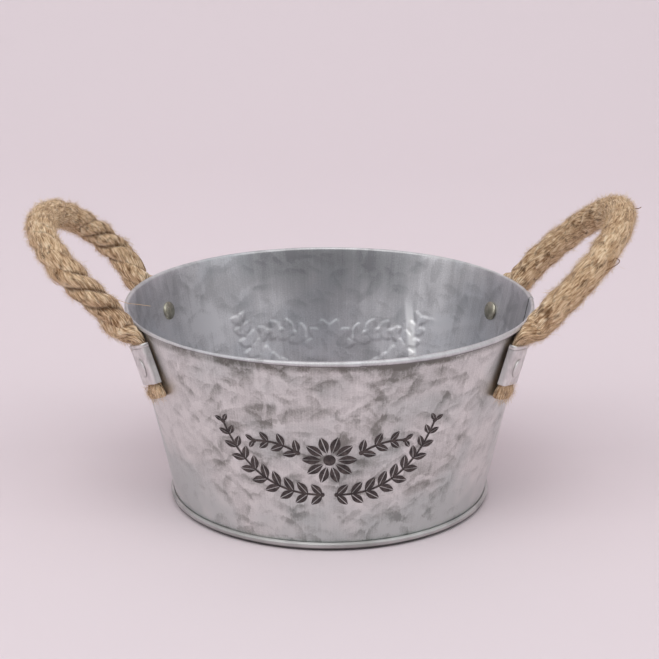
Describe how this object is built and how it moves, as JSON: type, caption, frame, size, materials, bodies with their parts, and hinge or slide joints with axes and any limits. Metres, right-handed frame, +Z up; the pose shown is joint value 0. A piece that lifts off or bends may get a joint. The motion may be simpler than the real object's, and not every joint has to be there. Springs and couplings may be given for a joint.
{
  "type": "florist bucket",
  "caption": "Low round tapered tub of galvanised sheet with a rolled rim, a double-seamed base and stiff rope loop handles riveted on under clips, for cut flowers and pots.",
  "frame": {"origin": "on the ground plane, in the middle of the ring that the tub stands on", "axes": "+Z up, -Y the front, +X towards the right-hand handle and -X towards the left-hand one"},
  "size_m": [0.2949, 0.202, 0.1507],
  "materials": {
    "galvanised_sheet": "dull spangled zinc",
    "plated_clip": "bright plated",
    "yellow_zinc_rivet": "yellow passivated zinc",
    "jute_rope": "hairy laid fibre"
  },
  "bodies": {
    "tub": {"side_wall": "galvanised_sheet", "base_plate": "galvanised_sheet", "left_front_clip": "plated_clip", "left_front_rivet": "yellow_zinc_rivet", "left_front_rope_end": "jute_rope", "left_back_clip": "plated_clip", "left_back_rivet": "yellow_zinc_rivet", "left_back_rope_end": "jute_rope", "right_front_clip": "plated_clip", "right_front_rivet": "yellow_zinc_rivet", "right_front_rope_end": "jute_rope", "right_back_clip": "plated_clip", "right_back_rivet": "yellow_zinc_rivet", "right_back_rope_end": "jute_rope"},
    "left_handle": {"left_rope_loop": "jute_rope"},
    "right_handle": {"right_rope_loop": "jute_rope"}
  },
  "joints": [
    {"name": "left_rope_bend", "type": "hinge", "parent": "tub", "child": "left_handle", "pos_m": [-0.09925, 0, 0.09885], "axis": [0, -1, 0], "range_deg": [-45, 40], "stiffness_Nm_per_rad": 0.2, "springref_deg": -0.48},
    {"name": "right_rope_bend", "type": "hinge", "parent": "tub", "child": "right_handle", "pos_m": [0.0991, 0, 0.09885], "axis": [0, 1, 0], "range_deg": [-45, 40], "stiffness_Nm_per_rad": 0.2, "springref_deg": -0.48}
  ]
}
